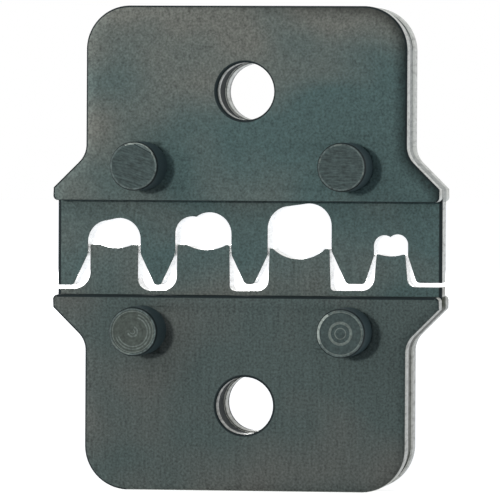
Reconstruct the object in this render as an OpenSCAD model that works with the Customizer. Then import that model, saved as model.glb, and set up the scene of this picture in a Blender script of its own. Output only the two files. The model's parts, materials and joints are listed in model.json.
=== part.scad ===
// Pair of crimping dies for a hand tool with interchangeable dies, drawn closed.
// Each half is a laminate: a profile plate between a front and a back cheek, held
// together by two guide pins that stand out of both faces.
// Lengths are in millimetres. +X is to the right, +Z is up and the front faces -Y.
// The origin is on the base of the lower half, at its middle in X and in Y.

/* [Cheeks] */
// Thickness of a cheek
cheek_t = 2.5; // [1.5:0.1:4]
// Height of a cheek from its outer edge to its parting edge
cheek_h = 16; // [14.5:0.1:24]
// Width of a cheek's body
body_w = 26.5; // [22:0.1:28.8]
// Width across the ears beside the parting edge
ear_w = 31.9; // [30.8:0.1:40]
// Straight height of an ear's side
ear_h = 1.05; // [0.6:0.05:2.5]
// Slope of the flank between an ear and the body, in degrees
ear_slope = 45; // [35:1:55]
// Radius of the ear's corner at the parting edge
ear_corner_r = 0.4; // [0.1:0.05:0.5]
// Radius of the hollow where the ear's slope runs into the body
ear_root_r = 2; // [0.5:0.1:4]
// Radius of the two outer corners
outer_corner_r = 3.6; // [1:0.1:5]

/* [Profile plates] */
// Thickness of a profile plate
profile_t = 3; // [1.5:0.1:6]
// How far the profile plate's covered edges lie inside the cheeks
profile_inset = 0.15; // [0.05:0.05:0.5]
// Reach of each tooth below the upper cheek's parting edge, from left to right
tooth_len = [7.03, 6.98, 6.85, 6.77, 6.63]; // [6.5:0.01:9]
// Height of the floor under each tooth above the lower cheek's parting edge
floor_h = [0.42, 0.32, 0.36, 0.44, 0.78]; // [0.2:0.02:1.5]
// Gap that the closed dies leave where a tooth comes nearest to its floor
tip_gap = 0.3; // [0.2:0.05:1.5]

/* [Nests] */
// Width of each nest between its walls
nest_w = [4.36, 4.64, 5.26, 2.78]; // [2.4:0.02:5.6]
// Width of each tooth between two nests, above its lead-in
tooth_w = [2.92, 3.04, 3.54]; // [2.7:0.02:5]
// Shift of the row of nests from the plate's middle
row_shift = -0.15; // [-0.5:0.05:0.5]
// Distance from the upper cheek's parting edge down to each nest's right lobe
roof_drop = [1.48, 0.96, 0.18, 2.66]; // [0.1:0.02:2.8]
// Radius of each nest's left lobe
left_lobe_r = [1.75, 1.4, 1.85, 0.85]; // [0.75:0.05:2.1]
// Radius of each nest's right lobe
right_lobe_r = [1.75, 1.8, 1.85, 0.85]; // [0.75:0.05:2.1]
// How much lower the left lobe is than the right one
lobe_step = [0.18, 0.34, 0.22, 0.08]; // [0:0.02:0.5]
// How far the ridge between a nest's lobes may stand below the line over both lobes
ridge_h = [0.01, 0.3, 0.01, 0.3]; // [0.01:0.01:0.4]

/* [Teeth] */
// Distance from the upper cheek's parting edge down to each nest's left lead-in
left_throat = [4.4, 4.4, 4.4, 4.4]; // [3.6:0.05:5.6]
// Distance from the upper cheek's parting edge down to each nest's right lead-in
right_throat = [4.4, 4.4, 4.05, 4.4]; // [3.6:0.05:5.6]
// Slope of each nest's lead-in from the upright, in degrees
lead_angle = [25, 25, 25, 18]; // [5:1:27]
// Radius where the lead-in runs into the nest wall
lead_blend_r = 1.2; // [0.2:0.1:2]
// Radius on the corners of a tooth's tip
tip_r = 0.4; // [0.1:0.05:0.8]

/* [Anvils] */
// Gap between each anvil's top and the nest wall beside it
side_gap = [0.18, 0.15, 0.14, 0.2]; // [0.12:0.01:0.4]
// Height of each anvil's shoulders above the lower cheek's parting edge
anvil_h = [4.08, 4.12, 3.86, 3.44]; // [2.8:0.02:5]
// Depth of the saddle in each anvil's top
saddle_depth = [0.28, 0.42, 0.87, 0.14]; // [0.1:0.01:1]
// Radius of the saddle in each anvil's top
saddle_r = [3.3, 3.4, 3.1, 3.3]; // [2:0.1:6]
// Shift of each saddle to the right of its anvil's middle
saddle_shift = [0.15, 0.25, -0.05, 0]; // [-0.3:0.05:0.3]
// Draft of each anvil's sides, in degrees
anvil_draft = [0, 1, 2, 5]; // [0:0.5:6]
// Radius at the foot of each anvil's left side
left_root_r = [1.4, 1.2, 0.9, 1.1]; // [0.2:0.05:1.5]
// Radius at the foot of each anvil's right side
right_root_r = [1, 0.4, 0.3, 0.7]; // [0.2:0.05:1.2]

/* [Bolt holes] */
// Bore for the screw that holds each half in the tool
bolt_d = 4.7; // [3:0.1:7]
// Distance from a cheek's outer edge to the centre of its bolt hole
bolt_edge = 7; // [5.5:0.1:8]
// Room on each side of the screw in the profile plate, beyond the cheek's bore
bolt_relief = 0.15; // [0.05:0.05:0.5]

/* [Guide pins] */
// Diameter of a guide pin
pin_d = 4; // [2:0.1:5]
// Distance between the two pins of one half
pin_spacing = 17; // [13:0.1:19]
// Distance from the parting edge to a pin's centre
pin_edge = 2.85; // [2.8:0.05:4.5]
// Length that a pin stands out of each cheek
pin_stand = 5; // [1:0.1:10]
// Chamfer on a pin's ends
pin_chamfer = 0.25; // [0.05:0.05:0.5]

/* [Hidden] */
$fn = 96;

// Overlap of a cut or a fillet with what lies beside it
skin = 0.02;
// How far a rounding disc crosses the two edges that it would otherwise only touch
bite = 0.002;

stack_t = profile_t + 2 * cheek_t;
body_x = body_w / 2;
ear_x = ear_w / 2;

nests = len(nest_w);
row_w = sum_of(nest_w, nests) + sum_of(tooth_w, nests - 1);
tooth_reach = max([for (k = [0 : nests]) floor_h[k] + tooth_len[k]]);
upper_edge_z = cheek_h + tooth_reach + tip_gap;
lowest_tip_z = upper_edge_z - max(tooth_len);

blackened_steel = [0.30, 0.36, 0.35];
ground_steel = [0.36, 0.41, 0.40];
pin_steel = [0.27, 0.32, 0.31];

// Sum of the first count entries of a list
function sum_of(list, count) = count < 1 ? 0 : list[count - 1] + sum_of(list, count - 1);

// Unit vector at an angle
function heading(angle) = [cos(angle), sin(angle)];

// The same direction on the other side of an upright line
function mirrored(angle) = 180 - angle;

function nest_left(i) = row_shift - row_w / 2 + sum_of(nest_w, i) + sum_of(tooth_w, i);
function nest_right(i) = nest_left(i) + nest_w[i];
function nest_mid(i) = nest_left(i) + nest_w[i] / 2;

// Tooth k lies to the left of nest k, and the last tooth to the right of the last nest
function tip_z(k) = upper_edge_z - tooth_len[k];
function floor_z(k) = cheek_h + floor_h[k];
function tooth_from(k) = k == 0 ? -ear_x : nest_mid(k - 1);
function tooth_to(k) = k == nests ? ear_x : nest_mid(k);

// Sideways growth of a nest's lead-ins from its wall to the tip of the tooth beside it
function left_out(i) = (tooth_len[i] - left_throat[i]) * tan(lead_angle[i]);
function right_out(i) = (tooth_len[i + 1] - right_throat[i]) * tan(lead_angle[i]);

// Sides of a tooth's flat tip
function tip_from(k) = k == 0 ? -ear_x : nest_right(k - 1) + right_out(k - 1);
function tip_to(k) = k == nests ? ear_x : nest_left(k) - left_out(k);

// Tip radius, kept within half of the tooth's flat
function tip_round(k, angle) = min(tip_r, 0.45 * (tip_to(k) - tip_from(k)) * tan((90 + angle) / 2));

function anvil_w(i) = nest_w[i] - 2 * side_gap[i];

// Half of an anvil's width at a height, wider towards its foot
function anvil_half(i, z) = anvil_w(i) / 2 + (cheek_h + anvil_h[i] - z) * tan(anvil_draft[i]);

// Direction of an anvil's right side, from its foot upwards
function right_side(i) = 90 + anvil_draft[i];

// The corner modules take a corner whose two edges leave it at angles a and b, with
// a below b, and a radius. The disc touches both edges, and the kite fills the corner
// as far as the disc's centre. A fillet adds the kite before it cuts the disc.
module corner_disc(corner, a, b, r) {
    translate(corner + r / sin((b - a) / 2) * heading((a + b) / 2)) circle(r + bite);
}

module corner_kite(corner, a, b, r) {
    half = (b - a) / 2;
    mid = (a + b) / 2;
    centre = corner + r / sin(half) * heading(mid);
    reach = r + skin;
    polygon([
        centre,
        centre + reach * heading(b + 90),
        centre - reach / sin(half) * heading(mid),
        centre + reach * heading(a - 90)
    ]);
}

// What is taken off an outward corner to round it
module corner_waste(corner, a, b, r) {
    difference() {
        corner_kite(corner, a, b, r);
        corner_disc(corner, a, b, r);
    }
}

// Draws its children once as they are and once mirrored in X
module both_sides() {
    children();
    mirror([1, 0]) children();
}

// Cheek outline, with the parting edge on y = 0 and the outer edge above it.
// The inset draws in the body's sides and outer edge, and leaves the ears.
module cheek_outline(inset = 0) {
    side = body_x - inset;
    top = cheek_h - inset;
    slope_end = ear_h + (ear_x - side) * tan(ear_slope);
    difference() {
        union() {
            translate([-side, 0]) square([2 * side, top]);
            polygon([
                [-ear_x, 0], [ear_x, 0], [ear_x, ear_h],
                [side, slope_end], [-side, slope_end], [-ear_x, ear_h]
            ]);
            corner_kite([side, slope_end], -ear_slope, 90, ear_root_r);
            corner_kite([-side, slope_end], 90, mirrored(-ear_slope), ear_root_r);
        }
        both_sides() corner_disc([side, slope_end], -ear_slope, 90, ear_root_r);
        both_sides() corner_waste([side, top], 180, 270, outer_corner_r);
    }
}

// Turns an outline into a plate that starts at y_front and runs back by its thickness
module plate(y_front, thickness) {
    translate([0, y_front + thickness, 0])
        rotate([90, 0, 0])
            linear_extrude(thickness) children();
}

// Puts an outline that has its parting edge on y = 0 on the lower or the upper half
module on_half(upper) {
    if (upper) translate([0, upper_edge_z]) children();
    else translate([0, cheek_h]) mirror([0, 1]) children();
}

// Bolt hole and pin holes of one half, in the cheek's own outline frame
module holes(bolt_room = 0) {
    translate([0, cheek_h - bolt_edge]) circle(bolt_d / 2 + bolt_room);
    both_sides() translate([pin_spacing / 2, pin_edge]) circle(pin_d / 2);
}

module cheek(upper, y_front) {
    plate(y_front, cheek_t)
        on_half(upper)
            difference() {
                cheek_outline();
                both_sides() corner_waste([ear_x, 0], 90, 180, ear_corner_r);
                holes();
            }
}

// Straight roof between a nest's two lobes, as low as the ridge that may stand there
module roof_between(left_centre, left_r, right_centre, right_r, ridge) {
    across = right_centre - left_centre;
    lean = max(-1, min(1, (left_r - right_r) / norm(across)));
    up = heading(atan2(across[1], across[0]) + acos(lean));
    polygon([
        left_centre, left_centre + (left_r - ridge) * up,
        right_centre + (right_r - ridge) * up, right_centre
    ]);
}

// Empty space of one nest: two lobes over upright walls and a lead-in at the mouth
module nest_space(i) {
    left = nest_left(i);
    right = nest_right(i);
    left_r = left_lobe_r[i];
    right_r = right_lobe_r[i];
    roof = upper_edge_z - roof_drop[i];
    left_lobe = [left + left_r, roof - lobe_step[i] - left_r];
    right_lobe = [right - right_r, roof - right_r];
    bottom = lowest_tip_z - skin;
    angle = lead_angle[i];
    left_lead_z = upper_edge_z - left_throat[i];
    right_lead_z = upper_edge_z - right_throat[i];
    translate([left, bottom]) square([nest_w[i], min(left_lobe[1], right_lobe[1]) - bottom]);
    translate([left, bottom]) square([left_r, left_lobe[1] - bottom]);
    translate([right - right_r, bottom]) square([right_r, right_lobe[1] - bottom]);
    translate(left_lobe) circle(left_r);
    translate(right_lobe) circle(right_r);
    roof_between(left_lobe, left_r, right_lobe, right_r, ridge_h[i]);
    polygon([
        [left, left_lead_z], [tip_to(i), tip_z(i)], [tip_to(i), bottom],
        [tip_from(i + 1), bottom], [tip_from(i + 1), tip_z(i + 1)], [right, right_lead_z]
    ]);
    corner_waste([left, left_lead_z], 90, 270 - angle, lead_blend_r);
    corner_waste([right, right_lead_z], angle - 90, 90, lead_blend_r);
    corner_waste([tip_to(i), tip_z(i)], 90 - angle, 180, tip_round(i, angle));
    corner_waste([tip_from(i + 1), tip_z(i + 1)], 0, 90 + angle, tip_round(i + 1, angle));
}

module upper_profile_outline() {
    difference() {
        union() {
            on_half(true) cheek_outline(profile_inset);
            for (k = [0 : nests])
                translate([tooth_from(k), tip_z(k)])
                    square([tooth_to(k) - tooth_from(k), tooth_len[k]]);
        }
        on_half(true) holes(bolt_relief);
        for (i = [0 : nests - 1]) nest_space(i);
    }
}

// Corner at an anvil's foot, on its left or right side
function left_foot(i) = [nest_mid(i) - anvil_half(i, floor_z(i)), floor_z(i)];
function right_foot(i) = [nest_mid(i) + anvil_half(i, floor_z(i + 1)), floor_z(i + 1)];

// One anvil before its saddle and its fillets are cut
module anvil_block(i) {
    mid = nest_mid(i);
    top = cheek_h + anvil_h[i];
    polygon([
        [mid - anvil_half(i, top), top], [mid - anvil_half(i, cheek_h), cheek_h],
        [mid + anvil_half(i, cheek_h), cheek_h], [mid + anvil_half(i, top), top]
    ]);
    corner_kite(left_foot(i), mirrored(right_side(i)), mirrored(0), left_root_r[i]);
    corner_kite(right_foot(i), 0, right_side(i), right_root_r[i]);
}

// What is cut from one anvil: the saddle in its top and the fillets at its feet
module anvil_cuts(i) {
    saddle_z = cheek_h + anvil_h[i] - saddle_depth[i] + saddle_r[i];
    translate([nest_mid(i) + saddle_shift[i], saddle_z]) circle(saddle_r[i]);
    corner_disc(left_foot(i), mirrored(right_side(i)), mirrored(0), left_root_r[i]);
    corner_disc(right_foot(i), 0, right_side(i), right_root_r[i]);
}

module lower_profile_outline() {
    difference() {
        union() {
            on_half(false) cheek_outline(profile_inset);
            for (k = [0 : nests])
                translate([tooth_from(k), cheek_h - skin])
                    square([tooth_to(k) - tooth_from(k), floor_h[k] + skin]);
            for (i = [0 : nests - 1]) anvil_block(i);
        }
        on_half(false) holes(bolt_relief);
        for (i = [0 : nests - 1]) anvil_cuts(i);
    }
}

// Guide pin along Y, chamfered at both ends
module guide_pin(x, z) {
    length = stack_t + 2 * pin_stand;
    r = pin_d / 2;
    translate([x, length / 2, z])
        rotate([90, 0, 0])
            rotate_extrude()
                polygon([
                    [0, 0], [r - pin_chamfer, 0], [r, pin_chamfer],
                    [r, length - pin_chamfer], [r - pin_chamfer, length], [0, length]
                ]);
}

module lower_profile_plate() {
    color(ground_steel) plate(-profile_t / 2, profile_t) lower_profile_outline();
}

module upper_profile_plate() {
    color(ground_steel) plate(-profile_t / 2, profile_t) upper_profile_outline();
}

module lower_front_cheek() {
    color(blackened_steel) cheek(false, -stack_t / 2);
}

module lower_back_cheek() {
    color(blackened_steel) cheek(false, profile_t / 2);
}

module upper_front_cheek() {
    color(blackened_steel) cheek(true, -stack_t / 2);
}

module upper_back_cheek() {
    color(blackened_steel) cheek(true, profile_t / 2);
}

module lower_left_pin() {
    color(pin_steel) guide_pin(-pin_spacing / 2, cheek_h - pin_edge);
}

module lower_right_pin() {
    color(pin_steel) guide_pin(pin_spacing / 2, cheek_h - pin_edge);
}

module upper_left_pin() {
    color(pin_steel) guide_pin(-pin_spacing / 2, upper_edge_z + pin_edge);
}

module upper_right_pin() {
    color(pin_steel) guide_pin(pin_spacing / 2, upper_edge_z + pin_edge);
}

lower_profile_plate();
lower_front_cheek();
lower_back_cheek();
lower_left_pin();
lower_right_pin();
upper_profile_plate();
upper_front_cheek();
upper_back_cheek();
upper_left_pin();
upper_right_pin();
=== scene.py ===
import json
import math

import bmesh
import bpy
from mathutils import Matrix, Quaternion, Vector
from mathutils.geometry import intersect_point_line


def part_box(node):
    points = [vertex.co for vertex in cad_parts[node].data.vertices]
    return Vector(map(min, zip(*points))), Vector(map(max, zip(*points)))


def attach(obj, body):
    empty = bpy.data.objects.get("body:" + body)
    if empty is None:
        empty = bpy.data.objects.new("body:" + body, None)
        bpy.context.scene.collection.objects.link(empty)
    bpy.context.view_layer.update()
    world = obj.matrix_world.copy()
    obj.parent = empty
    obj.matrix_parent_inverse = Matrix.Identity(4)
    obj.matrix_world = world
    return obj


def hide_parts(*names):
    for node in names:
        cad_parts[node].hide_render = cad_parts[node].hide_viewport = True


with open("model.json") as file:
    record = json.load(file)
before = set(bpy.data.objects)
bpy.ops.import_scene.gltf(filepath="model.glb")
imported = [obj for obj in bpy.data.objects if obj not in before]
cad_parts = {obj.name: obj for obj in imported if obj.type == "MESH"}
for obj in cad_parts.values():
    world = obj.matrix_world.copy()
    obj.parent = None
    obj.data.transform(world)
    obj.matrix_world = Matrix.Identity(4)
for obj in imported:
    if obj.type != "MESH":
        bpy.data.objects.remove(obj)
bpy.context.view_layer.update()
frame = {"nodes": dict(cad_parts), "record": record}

bl_info = {
    "name": "Crimping dies",
    "version": (1, 0, 0),
    "blender": (4, 5, 0),
    "location": "3D View > Sidebar > Crimping dies",
    "description": "Dresses the packed model of a pair of laminated crimping dies",
    "category": "Object",
}

MM = 0.001
HALVES = ("lower", "upper")
SIDES = ("left", "right")

# Material slots of a plate
FACE = 0
WALL = 1
EDGE = 2
CRIMP = 3
COVERED = 4
BORE = 5

# Material slots that a pin has after FACE, WALL and EDGE
# The lighter ring round a pin's end, a painted highlight of its edge
RIM_HIGHLIGHT = 3
PIN_SIDE = 4
TURNED_HIGHLIGHT = 5


def linear(hex_colour):
    """Turns an sRGB hex colour into linear red, green and blue."""
    channels = [int(hex_colour[i:i + 2], 16) / 255 for i in (1, 3, 5)]
    return [c / 12.92 if c <= 0.04045 else ((c + 0.055) / 1.055) ** 2.4 for c in channels]


class DieSizes(bpy.types.PropertyGroup):
    """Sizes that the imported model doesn't give."""

    cheek_edge: bpy.props.FloatProperty(
        name="Cheek edge", description="Width of the rounded edge round a cheek's outer face",
        default=0.14 * MM, unit="LENGTH")
    upper_parting_edge: bpy.props.FloatProperty(
        name="Parting edge, upper", description="Width of the upper cheeks' edge over the strip",
        default=0.05 * MM, unit="LENGTH")
    lower_parting_edge: bpy.props.FloatProperty(
        name="Parting edge, lower", description="Width of the lower cheeks' edge under the strip",
        default=0.2 * MM, unit="LENGTH")
    screw_edge: bpy.props.FloatProperty(
        name="Screw edge", description="Mean width of the rounded edge round a screw hole",
        default=0.19 * MM, unit="LENGTH")
    # These shifts widen the dark rounding on one side of each screw hole, as painted shade
    upper_screw_shift: bpy.props.FloatVectorProperty(
        name="Screw edge shift, upper", description="How far that edge's rim lies off the axis",
        subtype="TRANSLATION", size=3, default=(-0.09 * MM, 0.0, -0.01 * MM), unit="LENGTH")
    lower_screw_shift: bpy.props.FloatVectorProperty(
        name="Screw edge shift, lower", description="How far that edge's rim lies off the axis",
        subtype="TRANSLATION", size=3, default=(0.0, 0.0, 0.01 * MM), unit="LENGTH")
    strip_edge: bpy.props.FloatProperty(
        name="Strip edge", description="Width of the rounded edge at the profile plates' ends",
        default=0.27 * MM, unit="LENGTH")
    roll_width: bpy.props.FloatProperty(
        name="Roll width", description="Width of the hollow roll-off inside a cheek's outline",
        default=1.2 * MM, unit="LENGTH")
    roll_depth: bpy.props.FloatProperty(
        name="Roll depth", description="How far the face has dropped at a cheek's outline",
        default=0.22 * MM, unit="LENGTH")
    fracture_zone: bpy.props.FloatProperty(
        name="Fracture zone", description="How far the rough zone reaches into a screw hole",
        default=0.85 * MM, unit="LENGTH")
    inner_edge: bpy.props.FloatProperty(
        name="Inner edge", description="Width of the bare chamfers against the profile plates",
        default=0.15 * MM, unit="LENGTH")
    broken_edge: bpy.props.FloatProperty(
        name="Broken edge", description="Width of the crimp profile's edges",
        default=0.05 * MM, unit="LENGTH")
    pin_taper: bpy.props.FloatProperty(
        name="Pin taper", description="Length of the steep lead-in chamfer on a pin's end",
        default=0.35 * MM, unit="LENGTH")
    pin_end_radius: bpy.props.FloatProperty(
        name="Pin end radius", description="Radius of a pin's end face, inside its taper",
        default=1.9 * MM, unit="LENGTH")
    # The ring round a pin's end face is painted lighter, as a highlight of its edge
    highlight_ring: bpy.props.FloatProperty(
        name="Worn ring", description="Width of the worn ring round a pin's end face",
        default=0.13 * MM, unit="LENGTH")


class DieColours(bpy.types.PropertyGroup):
    """Colours of the dies' finishes and of the stage."""

    upper_cool: bpy.props.FloatVectorProperty(
        name="Upper cheeks, cool", description="The upper cheeks where the oxide is thick",
        subtype="COLOR", size=3, default=linear("#4c605e"))
    # Towards the upper left the upper cheeks turn to this colour, partly as painted light
    upper_warm: bpy.props.FloatVectorProperty(
        name="Upper cheeks, warm", description="The upper cheeks where the oxide is thin",
        subtype="COLOR", size=3, default=linear("#6c6e67"))
    lower_cool: bpy.props.FloatVectorProperty(
        name="Lower cheeks, cool", description="The lower cheeks where the oxide is thick",
        subtype="COLOR", size=3, default=linear("#4d5956"))
    lower_warm: bpy.props.FloatVectorProperty(
        name="Lower cheeks, warm", description="The lower cheeks where the oxide is thin",
        subtype="COLOR", size=3, default=linear("#5f605b"))
    profile_cool: bpy.props.FloatVectorProperty(
        name="Profile plates, cool", description="The profile plates where the oxide is thick",
        subtype="COLOR", size=3, default=linear("#4f6361"))
    profile_warm: bpy.props.FloatVectorProperty(
        name="Profile plates, warm", description="The profile plates where the oxide is thin",
        subtype="COLOR", size=3, default=linear("#6a6c66"))
    wall_lower: bpy.props.FloatVectorProperty(
        name="Walls, lower", description="Bare side walls and bores of the lower cheeks",
        subtype="COLOR", size=3, default=linear("#a1a39e"))
    wall_upper: bpy.props.FloatVectorProperty(
        name="Walls, upper", description="Bare side walls and bores of the upper cheeks",
        subtype="COLOR", size=3, default=linear("#bbbeba"))
    # On the pins' tapers this dark finish is painted shade
    edge: bpy.props.FloatVectorProperty(
        name="Edges", description="Blackened rounded edges round the faces",
        subtype="COLOR", size=3, default=linear("#232c2d"))
    crimp: bpy.props.FloatVectorProperty(
        name="Crimp profile", description="Polished walls of the nests and anvils",
        subtype="COLOR", size=3, default=linear("#f8f9f8"))
    # Partly oil, and partly painted shade of the recess between the cheeks
    covered_lower: bpy.props.FloatVectorProperty(
        name="Covered walls, lower", description="Oiled walls of the lower profile plate",
        subtype="COLOR", size=3, default=linear("#50534b"))
    covered_upper: bpy.props.FloatVectorProperty(
        name="Covered walls, upper", description="Wiped walls of the upper profile plate",
        subtype="COLOR", size=3, default=linear("#969a98"))
    # Black steel darkened further as painted shade deep in the screw holes
    bore: bpy.props.FloatVectorProperty(
        name="Profile bores", description="Blackened screw bores of the profile plates",
        subtype="COLOR", size=3, default=linear("#233437"))
    pin: bpy.props.FloatVectorProperty(
        name="Pins", description="Turned and ground ends of the guide pins",
        subtype="COLOR", size=3, default=linear("#44504e"))
    pin_brown: bpy.props.FloatVectorProperty(
        name="Pin, brown", description="The one pin whose end is browner",
        subtype="COLOR", size=3, default=linear("#4e554f"))
    # The turned rings and some arcs of the pins' rims, painted lighter as highlights
    turned: bpy.props.FloatVectorProperty(
        name="Turned rings", description="Raised rings and lighter rims on the pins' ends",
        subtype="COLOR", size=3, default=linear("#6f7872"))
    pin_side: bpy.props.FloatVectorProperty(
        name="Pin sides", description="Blackened sides of the guide pins",
        subtype="COLOR", size=3, default=linear("#3f4f52"))
    # Bare steel of the ground facet, and painted highlights on arcs of the pins' rims
    worn: bpy.props.FloatVectorProperty(
        name="Worn edges", description="Edges of the pins' ends that are worn down to the steel",
        subtype="COLOR", size=3, default=linear("#707773"))
    # The ring round a pin's end and the facet's border, painted lighter as a highlight of the
    # edge
    rubbed: bpy.props.FloatVectorProperty(
        name="Rubbed edges", description="Edges of the pins' ends where the black is rubbed thin",
        subtype="COLOR", size=3, default=linear("#5a6562"))
    backdrop: bpy.props.FloatVectorProperty(
        name="Backdrop", description="Floor and surroundings",
        subtype="COLOR", size=3, default=(1.0, 1.0, 1.0))
    ambient: bpy.props.FloatVectorProperty(
        name="Ambient light", description="Faint light from all round, which fills the shadows",
        subtype="COLOR", size=3, default=(0.15, 0.172, 0.21))


def add_node(tree, kind, inputs=(), **settings):
    """Adds a node with its settings, its input values and its links.

    The inputs are named in a dict, or listed in the order of the sockets in use. A node that
    is given as an input stands for its own first output in use.
    """
    node = tree.nodes.new(kind)
    for name, value in settings.items():
        setattr(node, name, value)
    if isinstance(inputs, dict):
        sockets, values = [node.inputs[name] for name in inputs], inputs.values()
    else:
        sockets, values = [socket for socket in node.inputs if socket.enabled], inputs
    for socket, value in zip(sockets, values):
        if isinstance(value, bpy.types.Node):
            value = next(output for output in value.outputs if output.enabled)
        if isinstance(value, bpy.types.NodeSocket):
            tree.links.new(value, socket)
        else:
            socket.default_value = value
    return node


def opaque(colour, level=1.0):
    """A colour at a level of brightness, with full alpha."""
    return [c * level for c in colour] + [1.0]


def new_material(name):
    """An empty material and its node tree."""
    material = bpy.data.materials.new(name)
    material.use_nodes = True
    material.node_tree.nodes.clear()
    return material, material.node_tree


def grain(tree, size_mm, detail, turn=0.0):
    """Noise whose lumps have the given sizes in millimetres along X, Y and Z.

    The turn is about Y, in degrees.
    """
    place = add_node(tree, "ShaderNodeTexCoord")
    scaled = add_node(tree, "ShaderNodeMapping", {
        "Vector": place.outputs["Object"],
        "Rotation": (0.0, math.radians(turn), 0.0),
        "Scale": [size * MM for size in size_mm],
    }, vector_type="TEXTURE")
    return add_node(tree, "ShaderNodeTexNoise", {
        "Vector": scaled,
        "Scale": 1.0,
        "Detail": detail,
        "Roughness": 0.55,
    })


# Where the oxide turns brown: a direction in X and Z, two distances along it in millimetres,
# and how much browner than its patches the oxide is at each. The browner colour is also
# lighter, and the upper one, towards the upper left, is partly painted light.
BROWN_AND_PAINTED_LIGHT_UPPER = ((-0.35, 0.94), (27, 38), (0.0, 0.34))
THIN_LOWER = ((-0.56, -0.83), (-19, 6), (-0.08, 0.22))
THIN_LOWER_PROFILE = ((-0.56, -0.83), (-22, -11), (-0.06, 0.22))

# How far from the middle a face's painted edge light counts in full
SIDE_X = 13 * MM


def oxide_colour(tree, cool, warm, thin):
    """Wide patches of a cool and a warm black, which turn warmer where the oxide is thin; in the
    upper half that lighter shift towards the upper left is partly painted light.
    """
    (thin_x, thin_z), reach_mm, browner = thin
    place = add_node(tree, "ShaderNodeTexCoord")
    along = add_node(
        tree, "ShaderNodeVectorMath", (place.outputs["Object"], (thin_x, 0.0, thin_z)),
        operation="DOT_PRODUCT")
    thin_oxide_and_painted_light = add_node(
        tree, "ShaderNodeMapRange", (along, *[mm * MM for mm in reach_mm], *browner))
    cloud = grain(tree, (9.0, 9.0, 7.0), detail=1.0)
    brown = add_node(tree, "ShaderNodeMath", (cloud, thin_oxide_and_painted_light), operation="ADD")
    patches = add_node(tree, "ShaderNodeMapRange", (brown, 0.49, 0.9, 0.0, 1.0))
    return add_node(
        tree, "ShaderNodeMix", (patches, opaque(cool), opaque(warm)), data_type="RGBA")


def edge_level(tree, painted_edge_light):
    """One on the flat of a face, and up or down by the painted edge light where it rolls off: a
    painted highlight at the left and painted shade at the right.
    """
    place = add_node(tree, "ShaderNodeTexCoord")
    axes = add_node(tree, "ShaderNodeSeparateXYZ", (place.outputs["Object"],))
    side = add_node(
        tree, "ShaderNodeMapRange", (axes.outputs["X"], -SIDE_X, SIDE_X, *painted_edge_light))
    rolled = add_node(tree, "ShaderNodeAttribute", attribute_name="rolled")
    return add_node(
        tree, "ShaderNodeMath", (side, rolled.outputs["Fac"], 1.0), operation="MULTIPLY_ADD")


def blackened_steel(name, cool, warm, streak_mm, contrast, lines=0.5, turn=0.0,
                    painted_edge_light=(0.0, 0.0), thin=BROWN_AND_PAINTED_LIGHT_UPPER):
    """Alloy steel, ground flat and then blackened in a hot bath.

    The oxide is thin and matt, so the eye sees a dark grey-green with a fine mottle, faint
    lines where the grinding shows through, and wide patches where the oxide turns browner;
    in the upper half they also turn lighter towards the upper left as painted light.
    Lines is the streaks' share of the contrast, and the mottle has the rest. The painted edge
    light says how much the rolled-off edge's colour is raised at the left, as a painted
    highlight where it faces the light, and lowered at the right, as painted shade where it turns
    away from the light.
    """
    made = bpy.data.materials.get(name)
    if made:
        return made
    material, tree = new_material(name)
    # The real crystals are some hundredths of a millimetre; they are drawn coarser to show
    mottle = grain(tree, (0.19, 0.19, 0.19), detail=2.0)
    streaks = grain(tree, streak_mm, detail=2.0, turn=turn)
    mottle_part = add_node(tree, "ShaderNodeMapRange", (mottle, 0.3, 0.7, 0.0, 1.0 - lines))
    streak_part = add_node(tree, "ShaderNodeMapRange", (streaks, 0.3, 0.7, 0.0, lines))
    marks = add_node(tree, "ShaderNodeMath", (mottle_part, streak_part), operation="ADD")
    flat_level = add_node(
        tree, "ShaderNodeMapRange", (marks, 0.0, 1.0, 1.0 - contrast, 1.0 + contrast))
    level = add_node(
        tree, "ShaderNodeMath", (flat_level, edge_level(tree, painted_edge_light)),
        operation="MULTIPLY")
    oxide = oxide_colour(tree, cool, warm, thin)
    shader = add_node(tree, "ShaderNodeBsdfPrincipled", {
        "Base Color": add_node(tree, "ShaderNodeVectorMath", (oxide, level), operation="SCALE"),
        "Roughness": add_node(tree, "ShaderNodeMapRange", (marks, 0.0, 1.0, 0.6, 0.74)),
        "Metallic": 0.1,
        "Specular IOR Level": 0.15,
        "Normal": add_node(tree, "ShaderNodeBump", {
            "Height": marks,
            "Strength": 0.35,
            "Distance": 0.02 * MM,
        }),
    })
    add_node(tree, "ShaderNodeOutputMaterial", (shader,))
    return material


def even_black(name, colour, contrast=0.2):
    """Blackened steel of one colour, whose grain has no direction."""
    return blackened_steel(name, colour, colour, (0.5, 0.5, 0.5), contrast)


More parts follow.
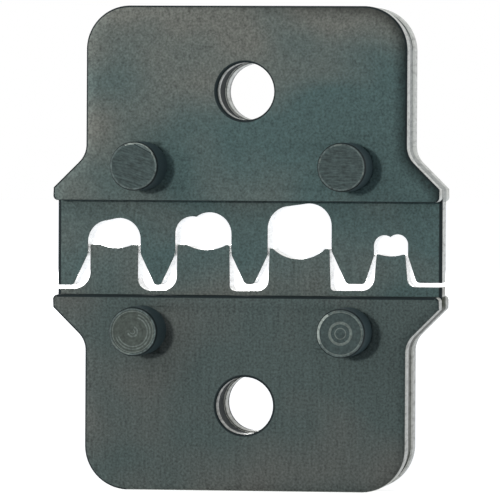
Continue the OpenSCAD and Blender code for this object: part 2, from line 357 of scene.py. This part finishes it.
def bare_steel(name, colour, roughness, stain, lines_mm=(0.12, 3.0, 0.12)):
    """Bare alloy steel, sheared and lightly ground across the plate's thickness.

    It reads light grey with fine lines along Y and a few darker stains. Stain says how dark
    those get.
    """
    made = bpy.data.materials.get(name)
    if made:
        return made
    material, tree = new_material(name)
    # Shearing leaves marks about a tenth of a millimetre apart, with stains along them
    marks = grain(tree, lines_mm, detail=2.0)
    stains = grain(tree, (0.3, 1.8, 0.3), detail=3.0)
    lines = add_node(tree, "ShaderNodeMapRange", (marks, 0.3, 0.7, 0.0, 1.0))
    lined = add_node(
        tree, "ShaderNodeMix", (lines, opaque(colour, 0.86), opaque(colour, 1.06)),
        data_type="RGBA")
    dark = add_node(tree, "ShaderNodeMapRange", (stains, 0.52, 0.68, 0.0, stain))
    stained = add_node(
        tree, "ShaderNodeMix", (dark, lined, opaque(colour, 0.4)), data_type="RGBA")
    rough = add_node(
        tree, "ShaderNodeMapRange", (stains, 0.3, 0.7, roughness, roughness + 0.15))
    shader = add_node(tree, "ShaderNodeBsdfPrincipled", {
        "Base Color": stained,
        "Roughness": rough,
        "Metallic": 1.0,
        "Normal": add_node(tree, "ShaderNodeBump", {
            "Height": lines,
            "Strength": 0.2,
            "Distance": 0.01 * MM,
        }),
    })
    add_node(tree, "ShaderNodeOutputMaterial", (shader,))
    return material


# How a half's faces are ground: the upper half is mottled all over, and the lower one keeps
# upright grinding lines, which are drawn coarser than the real ones to show. The painted edge
# light is a painted highlight on the left rolled-off edges and painted shade on the right ones.
GROUND = {
    "lower": {"streak_mm": (0.25, 0.25, 4.0), "lines": 0.25, "painted_edge_light": (0.15, -0.15)},
    "upper": {"streak_mm": (0.5, 0.5, 0.6), "lines": 0.35, "painted_edge_light": (0.45, -0.8)},
}


def plate_materials(half, plate):
    """The finishes of one half's cheeks or profile plate, in the order of its slots."""
    colours = bpy.context.scene.die_colours
    lower = half == "lower"
    if plate == "profile_plate":
        cool, warm = colours.profile_cool, colours.profile_warm
        thin = THIN_LOWER_PROFILE if lower else BROWN_AND_PAINTED_LIGHT_UPPER
    elif lower:
        cool, warm, thin = colours.lower_cool, colours.lower_warm, THIN_LOWER
    else:
        cool, warm, thin = colours.upper_cool, colours.upper_warm, BROWN_AND_PAINTED_LIGHT_UPPER
    wall = colours.wall_lower if lower else colours.wall_upper
    covered = colours.covered_lower if lower else colours.covered_upper
    return [
        blackened_steel(
            f"blackened_ground_{half}_{plate}", cool, warm, contrast=0.55, thin=thin,
            **GROUND[half]),
        bare_steel(f"bare_sheared_steel_{half}", wall, roughness=0.35, stain=0.5),
        even_black("blackened_rounded_edge", colours.edge),
        bare_steel("polished_crimp_steel", colours.crimp, roughness=0.2, stain=0.1),
        bare_steel(f"covered_wall_{half}", covered, roughness=0.5, stain=0.4),
        even_black("blackened_bore", colours.bore),
    ]


# Two places count as one if they are closer than this: where a feature is looked for, where
# points are merged and where a face is cut
NEAR = 0.01 * MM
MERGE = 0.001 * MM
CUT = 0.0001 * MM


def pick(piece, kind, wanted):
    """Selects the faces or edges that the test wants, and nothing else, in edit mode."""
    bpy.ops.mesh.select_mode(type="EDGE" if kind == "edges" else "FACE")
    bpy.ops.mesh.select_all(action="DESELECT")
    mesh = bmesh.from_edit_mesh(piece.data)
    for item in getattr(mesh, kind):
        if wanted(item):
            item.select = True
    mesh.select_flush_mode()
    bmesh.update_edit_mesh(piece.data)


def assign_finish(piece, slot):
    """Gives the selected faces the finish in a slot."""
    piece.active_material_index = slot
    bpy.ops.object.material_slot_assign()


def cut_selected(point, normal, **after):
    """Cuts the selected faces along a plane, and fills or clears what the settings say."""
    bpy.ops.mesh.bisect(plane_co=point, plane_no=normal, threshold=CUT, **after)


def cut_piece(point, normal, **after):
    """Cuts the whole piece in edit mode along a plane, in the same way."""
    bpy.ops.mesh.select_all(action="SELECT")
    cut_selected(point, normal, **after)


def round_edges(width, material, segments=2):
    """Rounds the selected edges of the piece in edit mode."""
    bpy.ops.mesh.bevel(
        offset=width, offset_type="OFFSET", segments=segments, affect="EDGES",
        clamp_overlap=False, loop_slide=False, material=material)


def is_rim(edge):
    """True for a square edge between a plate's face and one of its walls."""
    tilts = sorted(abs(face.normal.y) for face in edge.link_faces)
    return len(tilts) == 2 and tilts[0] < 0.1 and tilts[1] > 0.99


def merged_copy(node, name, materials):
    """A new piece with a CAD node's shape, as flat faces instead of loose triangles."""
    piece = bpy.data.objects.new(name, frame["nodes"][node].data.copy())
    bpy.context.scene.collection.objects.link(piece)
    piece.data.materials.clear()
    for material in materials:
        piece.data.materials.append(material)
    bpy.ops.object.select_all(action="DESELECT")
    piece.select_set(True)
    bpy.context.view_layer.objects.active = piece
    bpy.ops.object.mode_set(mode="EDIT")
    bpy.ops.mesh.select_all(action="SELECT")
    bpy.ops.mesh.remove_doubles(threshold=MERGE)
    bpy.ops.mesh.dissolve_limited(angle_limit=math.radians(0.3))
    return piece


def smooth_piece(piece, crease=40):
    """Leaves edit mode, and shades the piece so that its flats stay flat.

    Edges sharper than the crease, in degrees, stay sharp.
    """
    bpy.ops.object.mode_set(mode="OBJECT")
    bpy.ops.object.shade_smooth_by_angle(angle=math.radians(crease))
    bpy.ops.object.modifier_add(type="WEIGHTED_NORMAL")
    piece.modifiers[-1].keep_sharp = True
    bpy.ops.object.modifier_apply(modifier=piece.modifiers[-1].name)


def paint_faces(piece, finish_of):
    """Gives each face its finish, apart from the rounded edges, which have theirs."""
    for face in piece.data.polygons:
        if face.material_index not in (EDGE, WALL):
            face.material_index = finish_of(face)


# How a cheek's features are told apart: an edge this close outside a hole's radius belongs to
# the hole, and the rounded edges end this deep under the outer face
HOLE_MARGIN = 0.05 * MM
EDGE_DEPTH = 0.2 * MM

# How far from the parting line its rounding ends, and the corners at its two ends
PARTING_ROUNDING = 0.3 * MM
PARTING_CORNERS = 1 * MM

# The lower cheeks' rounded edges are rubbed light to the right of this
RUBBED_FROM_X = -9.5 * MM


class Cheek:
    """Where a cheek's features lie, and the tests that tell its edges and faces apart."""

    def __init__(self, half, side):
        sizes = bpy.context.scene.die_sizes
        self.side = side
        self.node = f"{half}_{side}_cheek"
        low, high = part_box(self.node)
        self.outer_y = low.y if side == "front" else high.y
        self.parting_z = high.z if half == "lower" else low.z
        # Both cheeks are punched from the front, which leaves the holes rough behind
        self.fracture_y = high.y - sizes.fracture_zone
        self.pins = [sum(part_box(f"{half}_{hand}_pin"), Vector()) / 2 for hand in SIDES]
        self.pin_r = (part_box(f"{half}_left_pin")[1] - self.pins[0]).x
        bore = next(m for m in frame["record"]["mounts"] if m["name"] == f"{half}_bolt_bore")
        self.screw = Vector(bore["pos_m"])
        self.screw_r = bore["dims"]["r_mm"] * MM
        self.screw_edge = sizes.screw_edge

    def round_a_pin(self, edge):
        return any((edge.verts[0].co - pin).xz.length < self.pin_r + HOLE_MARGIN
                   for pin in self.pins)

    def round_the_screw(self, edge):
        return (edge.verts[0].co - self.screw).xz.length < self.screw_r + HOLE_MARGIN

    def at_parting(self, edge):
        return all(abs(vert.co.z - self.parting_z) < NEAR for vert in edge.verts)

    def on_outer_face(self, edge):
        return is_rim(edge) and not self.round_a_pin(edge) and all(
            abs(vert.co.y - self.outer_y) < NEAR for vert in edge.verts)

    def on_inner_face(self, edge):
        return is_rim(edge) and not (
            self.round_a_pin(edge) or self.on_outer_face(edge) or self.at_parting(edge))

    def on_screw_rim(self, edge):
        return self.on_outer_face(edge) and self.round_the_screw(edge)

    def on_parting_edge(self, edge):
        return self.on_outer_face(edge) and self.at_parting(edge)

    def on_outline(self, edge):
        return self.on_outer_face(edge) and not self.round_the_screw(edge)

    def rolls_off(self, edge):
        """True for the outline without the parting edge and its corners."""
        return self.on_outline(edge) and any(
            abs(vert.co.z - self.parting_z) > PARTING_CORNERS for vert in edge.verts)

    def is_rubbed(self, face):
        """True for the rounded edges along the bottom and the right of a lower cheek."""
        middle = face.calc_center_median()
        return (face.material_index == EDGE and middle.x > RUBBED_FROM_X
                and abs(middle.z - self.parting_z) > PARTING_ROUNDING
                and (middle - self.screw).xz.length > self.screw_r + 2 * self.screw_edge)

    def finish_of(self, face):
        """The slot of a face; the screw hole's rough zone is darkest in the front cheek, where
        its dark colour is also painted shade deep in the hole.
        """
        if abs(face.normal.y) > 0.5:
            return FACE
        in_hole = (face.center - self.screw).xz.length < self.screw_r
        if in_hole and face.center.y > self.fracture_y:
            return BORE if self.side == "front" else COVERED
        at_rim = abs(face.center.y - self.outer_y) < EDGE_DEPTH
        return EDGE if at_rim or abs(face.center.z - self.parting_z) < NEAR else WALL


def shift_rim(piece, axis, radius, y, width, shift):
    """Moves a rounded hole edge's outer rim sideways, which widens its dark rounding on one side
    as painted shade.
    """
    # A rounding that is drawn on a hole with flat sides reaches a little past its width
    reach = radius + 1.2 * width
    mesh = bmesh.from_edit_mesh(piece.data)
    for vert in mesh.verts:
        depth = abs(vert.co.y - y)
        if depth < width and (vert.co - axis).xz.length < reach:
            vert.co += shift * (1 - depth / width)
    bmesh.update_edit_mesh(piece.data)


def distance_to(point, outline):
    """Distance in X and Z from a point to the nearest edge of an outline."""
    nearest = math.inf
    for start, end in outline:
        foot, share = intersect_point_line(point, start, end)
        foot = start.lerp(end, min(1.0, max(0.0, share)))
        nearest = min(nearest, (point - foot).length)
    return nearest


# The grid that a cheek's face gets for its roll-off: the spacing of its lines, and which ones
# are cut, counted inwards from the sides, from the outer edge and from the parting edge
GRID_STEP = 0.3 * MM
FROM_SIDES = range(1, 22)
FROM_OUTER_EDGE = range(1, 14)
FROM_PARTING = range(2, 18)

# Width of the part along the parting edge that is ground flat, and of the one next to it,
# across which the roll-off grows to its full depth
FLAT_WIDTH = 0.3 * MM
FADE_WIDTH = 1 * MM


def roll_off(piece, outline, y, parting_z, width, depth):
    """Lets the face at y fall away near the outline, as blanking a plate leaves it.

    The face is cut into a grid near its sides and its outer edge, and the grid's points then
    move into the plate. At the parting edge the plate is ground flat, so the roll fades out.
    The attribute rolled is one at the outline and nought inside the roll; the faces' painted edge
    light follows it.
    """
    reach_x = max(point.x for edge in outline for point in edge)
    heights = [point.z for edge in outline for point in edge]
    outer_z = max(heights, key=lambda z: abs(z - parting_z))
    into = math.copysign(1, parting_z - outer_z)
    cuts = [((1, 0, 0), side * (reach_x - GRID_STEP * k)) for side in (-1, 1) for k in FROM_SIDES]
    cuts += [((0, 0, 1), outer_z + into * GRID_STEP * k) for k in FROM_OUTER_EDGE]
    cuts += [((0, 0, 1), parting_z - into * GRID_STEP * k) for k in FROM_PARTING]
    for axis, place in cuts:
        pick(piece, "faces", lambda face: all(abs(vert.co.y - y) < MERGE for vert in face.verts))
        cut_selected(Vector(axis) * place, axis)
    mesh = bmesh.from_edit_mesh(piece.data)
    inwards = -math.copysign(1, y)
    rolled = mesh.verts.layers.float.new("rolled")
    for vert in mesh.verts:
        if abs(vert.co.y - y) < EDGE_DEPTH:
            point = Vector((vert.co.x, 0, vert.co.z))
            share = max(0.0, 1 - distance_to(point, outline) / width)
            fade = (abs(vert.co.z - parting_z) - FLAT_WIDTH) / FADE_WIDTH
            vert.co.y += inwards * depth * share ** 3 * min(1.0, max(0.0, fade))
            vert[rolled] = share
    bmesh.update_edit_mesh(piece.data)


class DIES_OT_cheeks(bpy.types.Operator):
    """Makes the four cheeks, with rounded edges, blackened faces and bare walls"""

    bl_idname = "dies.cheeks"
    bl_label = "Cheeks"

    def execute(self, context):
        sizes = context.scene.die_sizes
        for half in HALVES:
            materials = plate_materials(half, "cheek")
            for side in ("front", "back"):
                cheek = Cheek(half, side)
                piece = merged_copy(cheek.node, f"{cheek.node}_plate", materials)
                outline = [
                    [Vector((vert.co.x, 0, vert.co.z)) for vert in edge.verts]
                    for edge in bmesh.from_edit_mesh(piece.data).edges if cheek.rolls_off(edge)
                ]
                cut_piece((0, cheek.fracture_y, 0), (0, 1, 0))
                pick(piece, "edges", cheek.on_inner_face)
                round_edges(sizes.inner_edge, WALL)
                pick(piece, "edges", cheek.on_screw_rim)
                round_edges(sizes.screw_edge, EDGE, 3)
                shift_rim(piece, cheek.screw, cheek.screw_r, cheek.outer_y, sizes.screw_edge,
                          getattr(sizes, f"{half}_screw_shift"))
                pick(piece, "edges", cheek.on_parting_edge)
                round_edges(getattr(sizes, f"{half}_parting_edge"), EDGE)
                pick(piece, "edges", cheek.on_outline)
                round_edges(sizes.cheek_edge, EDGE)
                if half == "lower":
                    # Next to the face, all but the left edge is rubbed as light as the face
                    pick(piece, "faces", cheek.is_rubbed)
                    assign_finish(piece, FACE)
                roll_off(piece, outline, cheek.outer_y, cheek.parting_z,
                         sizes.roll_width, sizes.roll_depth)
                smooth_piece(piece)
                paint_faces(piece, cheek.finish_of)
                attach(piece, f"{half}_die")
                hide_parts(cheek.node)
        return {"FINISHED"}


# Walls of the profile plates that are closer to a screw's axis are its bore
BORE_REACH = 3 * MM


class DIES_OT_profile_plates(bpy.types.Operator):
    """Makes the two profile plates, with polished nests and anvils"""

    bl_idname = "dies.profile_plates"
    bl_label = "Profile plates"

    def execute(self, context):
        sizes = context.scene.die_sizes
        lower_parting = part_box("lower_front_cheek")[1].z
        upper_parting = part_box("upper_front_cheek")[0].z
        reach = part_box("upper_profile_plate")[1].x - NEAR
        screws = [Vector(mount["pos_m"]) for mount in frame["record"]["mounts"]
                  if mount["kind"] == "bore"]

        def exposed(z):
            return lower_parting + NEAR < z < upper_parting - NEAR

        def on_exposed_rim(edge):
            return is_rim(edge) and exposed((edge.verts[0].co.z + edge.verts[1].co.z) / 2)

        def at_strip_end(edge):
            return abs(edge.verts[0].co.x + edge.verts[1].co.x) / 2 > reach

        def in_bore(face):
            return any((face.center - screw).xz.length < BORE_REACH for screw in screws)

        def finish_of(face):
            if abs(face.normal.y) > 0.9:
                return FACE
            if exposed(face.center.z):
                return WALL if abs(face.center.x) > reach else CRIMP
            # The bores are painted dark, as shade deep in the screw holes
            return BORE if in_bore(face) else COVERED

        for half in HALVES:
            node = f"{half}_profile_plate"
            piece = merged_copy(
                node, f"{half}_crimp_profile_plate", plate_materials(half, "profile_plate"))
            for z in (lower_parting, upper_parting):
                cut_piece((0, 0, z), (0, 0, 1))
            pick(piece, "edges", lambda edge: on_exposed_rim(edge) and at_strip_end(edge))
            round_edges(sizes.strip_edge, EDGE)
            pick(piece, "edges", lambda edge: on_exposed_rim(edge) and not at_strip_end(edge))
            round_edges(sizes.broken_edge, CRIMP)
            smooth_piece(piece)
            paint_faces(piece, finish_of)
            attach(piece, f"{half}_die")
            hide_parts(node)
        return {"FINISHED"}


# Rings on a pin's front end, from the highlight ring inwards: each one's width and how far its
# inner side stands out beyond its outer one, both in millimetres, and its finish
PIN_RINGS = {
    "lower_left": [
        (0.06, -0.04, FACE), (0.07, 0.02, TURNED_HIGHLIGHT), (0.1, 0.0, FACE), (0.06, -0.03, FACE),
        (0.1, 0.03, TURNED_HIGHLIGHT), (0.12, -0.02, FACE), (0.1, 0.02, TURNED_HIGHLIGHT), (0.16, -0.03, FACE),
        (0.14, 0.0, FACE), (0.1, 0.03, FACE), (0.2, 0.0, FACE), (0.1, -0.03, FACE),
        (0.14, 0.03, TURNED_HIGHLIGHT), (0.1, 0.0, FACE), (0.08, -0.04, TURNED_HIGHLIGHT),
    ],
    "lower_right": [
        (0.07, 0.0, TURNED_HIGHLIGHT), (0.12, -0.04, FACE), (0.6, 0.0, FACE), (0.06, 0.03, TURNED_HIGHLIGHT),
        (0.16, 0.0, TURNED_HIGHLIGHT), (0.08, -0.03, FACE), (0.2, 0.0, FACE), (0.08, 0.02, TURNED_HIGHLIGHT),
        (0.1, 0.0, FACE),
    ],
}

# Arcs of the ring round a pin's end that are painted as highlights where its edge catches the
# light: from and to in degrees from the right upwards, and the finish painted there
HIGHLIGHT_ARCS = {
    "lower_left": ((205, 230, TURNED_HIGHLIGHT), (236, 262, TURNED_HIGHLIGHT)),
    "lower_right": ((98, 112, TURNED_HIGHLIGHT), (122, 208, WALL)),
    "upper_left": ((20, 62, TURNED_HIGHLIGHT), (78, 112, WALL)),
    "upper_right": ((90, 108, TURNED_HIGHLIGHT), (157, 167, TURNED_HIGHLIGHT), (341, 348, TURNED_HIGHLIGHT)),
}

# Arcs where a pin's turned rings lose their painted highlight, in the same way
UNLIT_RING_ARCS = {"lower_left": ((70, 200, FACE),)}

# How far the grinding lines on the upper pins' ends are turned, in degrees
GROUND_ENDS = {"upper_left": 18.0, "upper_right": 0.0}

# A flat ground on the rim of a pin's front end: its direction from the right upwards and its
# slope, both in degrees, and how far from the middle it starts, in millimetres
GROUND_FACETS = {"upper_left": (62, 14, 1.58)}

# Width of the facet's border, painted lighter as a highlight, and how far outside the facet's
# start the middle of the border's straight side can lie
FACET_BORDER = 0.07 * MM
FACET_CHORD = 0.22 * MM

# A face with more corners than this is a whole round one, not a piece of a ring
FEW_CORNERS = 8


def pin_materials(place):
    """The finishes of a guide pin, in the order of its slots."""
    colours = bpy.context.scene.die_colours
    end_colour = colours.pin_brown if place == "lower_left" else colours.pin
    if place in GROUND_ENDS:
        end_steel = blackened_steel(
            f"ground_pin_end_{place}", end_colour, end_colour, streak_mm=(0.7, 0.7, 0.14),
            contrast=0.65, lines=0.7, turn=GROUND_ENDS[place])
    else:
        end_steel = even_black(f"turned_pin_end_{place}", end_colour, contrast=0.5)
    return [
        end_steel,
        bare_steel("worn_pin_edge", colours.worn, roughness=0.5, stain=0.8,
                   lines_mm=(0.3, 0.3, 0.3)),
        even_black("blackened_rounded_edge", colours.edge),
        even_black("rubbed_pin_edge", colours.rubbed, contrast=0.8),
        even_black("blackened_pin_side", colours.pin_side),
        even_black("turned_pin_ring", colours.turned, contrast=0.5),
    ]


def turn_end(piece, middle, radius, end_y, rings):
    """Chamfers the end of a pin that is at end_y, in edit mode, and turns its rings."""
    sizes = bpy.context.scene.die_sizes
    outward = math.copysign(1, end_y - middle.y)
    taper_y = end_y - outward * sizes.pin_taper
    narrower = sizes.pin_end_radius / radius

    def on_taper(face):
        return abs(face.normal.y) < 0.1 and all(
            (vert.co.y - taper_y) * outward > -NEAR for vert in face.verts)

    def on_end(face):
        return len(face.verts) > FEW_CORNERS and face.normal.y * outward > 0.9

    cut_piece((0, taper_y, 0), (0, 1, 0))
    # The steep taper takes the dark edge finish all round, as painted shade
    pick(piece, "faces", on_taper)
    assign_finish(piece, EDGE)
    pick(piece, "faces", on_end)
    bpy.ops.transform.resize(value=(narrower, 1, narrower), center_override=middle)
    # The outermost ring is the painted highlight round the end's edge
    for width, rise, finish in [(sizes.highlight_ring / MM, 0.0, RIM_HIGHLIGHT), *rings]:
        assign_finish(piece, finish)
        bpy.ops.mesh.inset(thickness=width * MM, depth=rise * MM)
    assign_finish(piece, FACE)


def grind_facet(piece, middle, front_y, direction, slope, start_mm):
    """Cuts a small sloping flat off the front end's rim, and paints a highlight along its border.
    """
    outward = Vector((math.cos(math.radians(direction)), 0, math.sin(math.radians(direction))))
    corner = Vector((middle.x, front_y, middle.z)) + outward * start_mm * MM
    tilt = math.radians(slope)
    normal = outward * math.sin(tilt) - Vector((0, math.cos(tilt), 0))
    cut_piece(corner, normal, use_fill=True, clear_outer=True)

    def on_facet(face):
        return face.normal.dot(normal) > 0.999

    def on_facet_chord(face):
        reach = (face.calc_center_median() - middle).xz.length
        return (on_facet(face) and len(face.verts) < FEW_CORNERS
                and reach < start_mm * MM + FACET_CHORD)

    pick(piece, "faces", on_facet)
    assign_finish(piece, WALL)
    bpy.ops.mesh.inset(thickness=FACET_BORDER)
    assign_finish(piece, RIM_HIGHLIGHT)
    pick(piece, "faces", on_facet_chord)
    assign_finish(piece, EDGE)
    # At the facet's sharp corners the inset would stand some microns out of the end face
    mesh = bmesh.from_edit_mesh(piece.data)
    for vert in mesh.verts:
        vert.co.y = max(vert.co.y, front_y)
    bmesh.update_edit_mesh(piece.data)


def paint_ring_highlights(piece, place, middle):
    """Paints highlights on arcs of the ring round a pin's end, and takes the turned rings'
    painted highlight off on other arcs.
    """
    sizes = bpy.context.scene.die_sizes
    inside = sizes.pin_end_radius - 2 * sizes.highlight_ring
    for face in piece.data.polygons:
        across = face.center - middle
        if face.material_index not in (RIM_HIGHLIGHT, TURNED_HIGHLIGHT):
            arcs = ()
        elif across.xz.length < inside:
            arcs = UNLIT_RING_ARCS.get(place, ())
        else:
            arcs = HIGHLIGHT_ARCS[place] if abs(face.normal.y) > 0.999 else ()
        angle = math.degrees(math.atan2(across.z, across.x)) % 360
        for start, end, finish in arcs:
            if start < angle < end:
                face.material_index = finish


class DIES_OT_guide_pins(bpy.types.Operator):
    """Turns the four guide pins, with chamfered and faced ends"""

    bl_idname = "dies.guide_pins"
    bl_label = "Guide pins"

    def execute(self, context):
        for half in HALVES:
            for side in SIDES:
                place = f"{half}_{side}"
                node = f"{place}_pin"
                low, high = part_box(node)
                middle = (low + high) / 2
                radius = (high.x - low.x) / 2
                materials = pin_materials(place)
                bpy.ops.object.select_all(action="DESELECT")
                bpy.ops.mesh.primitive_cylinder_add(
                    vertices=96, radius=radius, depth=high.y - low.y,
                    end_fill_type="NGON", location=middle, rotation=(math.pi / 2, 0, 0))
                piece = context.active_object
                piece.name = f"{place}_guide_pin"
                for material in materials:
                    piece.data.materials.append(material)
                bpy.ops.object.transform_apply(location=True, rotation=True, scale=True)
                for face in piece.data.polygons:
                    face.material_index = FACE if abs(face.normal.y) > 0.9 else PIN_SIDE
                bpy.ops.object.mode_set(mode="EDIT")
                turn_end(piece, middle, radius, low.y, PIN_RINGS.get(place, []))
                turn_end(piece, middle, radius, high.y, [])
                if place in GROUND_FACETS:
                    grind_facet(piece, middle, low.y, *GROUND_FACETS[place])
                smooth_piece(piece, crease=12)
                paint_ring_highlights(piece, place, middle)
                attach(piece, f"{half}_die")
                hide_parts(node)
        return {"FINISHED"}


def seen_directly(tree):
    """One where a camera, glossy or transmission ray arrives, and nought elsewhere."""
    path = add_node(tree, "ShaderNodeLightPath")
    either = add_node(
        tree, "ShaderNodeMath", (path.outputs["Is Camera Ray"], path.outputs["Is Glossy Ray"]),
        operation="MAXIMUM")
    return add_node(
        tree, "ShaderNodeMath", (either, path.outputs["Is Transmission Ray"]),
        operation="MAXIMUM")


def white_floor(colour):
    """Matt white board, lit from within just enough to meet the white surroundings."""
    material, tree = new_material("white_board")
    matt = add_node(tree, "ShaderNodeBsdfDiffuse", {"Color": opaque(colour, 0.9)})
    level = add_node(tree, "ShaderNodeMapRange", (seen_directly(tree), 0.0, 1.0, 0.0, 0.87))
    glow = add_node(tree, "ShaderNodeEmission", (opaque(colour), level))
    shader = add_node(tree, "ShaderNodeAddShader", (matt, glow))
    add_node(tree, "ShaderNodeOutputMaterial", (shader,))
    return material


def white_surroundings(colour, ambient):
    """White where they are seen, and a faint bluish light where they light the dies."""
    world = bpy.data.worlds.new("white_surroundings")
    bpy.context.scene.world = world
    world.use_nodes = True
    tree = world.node_tree
    tree.nodes.clear()
    sky = add_node(
        tree, "ShaderNodeMix", (seen_directly(tree), opaque(ambient), opaque(colour)),
        data_type="RGBA")
    shine = add_node(tree, "ShaderNodeBackground", {"Color": sky})
    add_node(tree, "ShaderNodeOutputWorld", (shine,))


def add_softbox(name, place, aim, size, power):
    """A square lamp that faces a point."""
    place = Vector(place)
    turn = (Vector(aim) - place).to_track_quat("-Z", "Y").to_euler()
    bpy.ops.object.light_add(type="AREA", location=place, rotation=turn)
    lamp = bpy.context.active_object
    lamp.name = name
    lamp.data.shape = "SQUARE"
    lamp.data.size = size
    lamp.data.energy = power


# The camera stands to the right of the dies and a little above their middle, a good distance
# off, with a long lens; the lens is in millimetres on a sensor 36 mm wide
CAMERA_AZIMUTH = math.radians(7.9)
CAMERA_ELEVATION = math.radians(1.1)
CAMERA_ROLL = math.radians(0.3)
CAMERA_DISTANCE = 509 * MM
CAMERA_LENS = 447.9
CAMERA_TARGET = Vector((0.41, -4, 19.77)) * MM


def add_camera():
    """Adds the camera, where the pins, holes and outlines of the photo put it."""
    toward_camera = Vector((
        math.sin(CAMERA_AZIMUTH) * math.cos(CAMERA_ELEVATION),
        -math.cos(CAMERA_AZIMUTH) * math.cos(CAMERA_ELEVATION),
        math.sin(CAMERA_ELEVATION)))
    turn = (-toward_camera).to_track_quat("-Z", "Y") @ Quaternion((0, 0, 1), CAMERA_ROLL)
    bpy.ops.object.camera_add(
        location=CAMERA_TARGET + toward_camera * CAMERA_DISTANCE, rotation=turn.to_euler())
    camera = bpy.context.active_object
    camera.name = "photo_camera"
    camera.data.sensor_width = 36
    camera.data.lens = CAMERA_LENS
    camera.data.clip_start = 0.01
    camera.data.clip_end = 20
    bpy.context.scene.camera = camera


class DIES_OT_stage(bpy.types.Operator):
    """Makes the floor, the surroundings, the lamps and the camera"""

    bl_idname = "dies.stage"
    bl_label = "Stage"

    def execute(self, context):
        colours = context.scene.die_colours
        white_surroundings(colours.backdrop, colours.ambient)
        bpy.ops.object.select_all(action="DESELECT")
        bpy.ops.mesh.primitive_plane_add(size=4, location=(0, 0, 0))
        floor = context.active_object
        floor.name = "floor"
        floor.data.materials.append(white_floor(colours.backdrop))

        # Almost in front of the dies, a little to the left and above, and far and small
        # enough to give the pins the crisp shadows on their right
        add_softbox("key_lamp", (-0.116, -0.8, 0.075), (0, 0, 0.02), size=0.035, power=2.5)
        # Large and near, so that the dies are lightest at their upper left
        add_softbox("corner_lamp", (-0.05, -0.09, 0.07), (-0.01, 0, 0.03), size=0.08, power=0.026)
        # Gives the back about half the front's light, and doesn't reach what the camera sees
        add_softbox("back_lamp", (-0.2, 0.75, 0.16), (0, 0, 0.02), size=0.2, power=1.3)

        add_camera()
        context.scene.view_settings.view_transform = "Standard"
        return {"FINISHED"}


class DIES_PT_parts(bpy.types.Panel):
    """Lists the operators that make the dies, and the dies' sizes and colours"""

    bl_idname = "DIES_PT_parts"
    bl_label = "Crimping dies"
    bl_space_type = "VIEW_3D"
    bl_region_type = "UI"
    bl_category = "Crimping dies"

    def draw(self, context):
        for operator in OPERATORS:
            self.layout.operator(operator.bl_idname)
        for group in (context.scene.die_sizes, context.scene.die_colours):
            for name in group.bl_rna.properties.keys():
                if name not in ("rna_type", "name"):
                    self.layout.prop(group, name)


OPERATORS = (DIES_OT_cheeks, DIES_OT_profile_plates, DIES_OT_guide_pins, DIES_OT_stage)
CLASSES = (DieSizes, DieColours, *OPERATORS, DIES_PT_parts)


def register():
    for cls in CLASSES:
        bpy.utils.register_class(cls)
    bpy.types.Scene.die_sizes = bpy.props.PointerProperty(type=DieSizes)
    bpy.types.Scene.die_colours = bpy.props.PointerProperty(type=DieColours)


def unregister():
    del bpy.types.Scene.die_colours
    del bpy.types.Scene.die_sizes
    for cls in reversed(CLASSES):
        bpy.utils.unregister_class(cls)


def main():
    register()
    bpy.ops.dies.cheeks()
    bpy.ops.dies.profile_plates()
    bpy.ops.dies.guide_pins()
    bpy.ops.dies.stage()


if __name__ == "__main__":
    main()
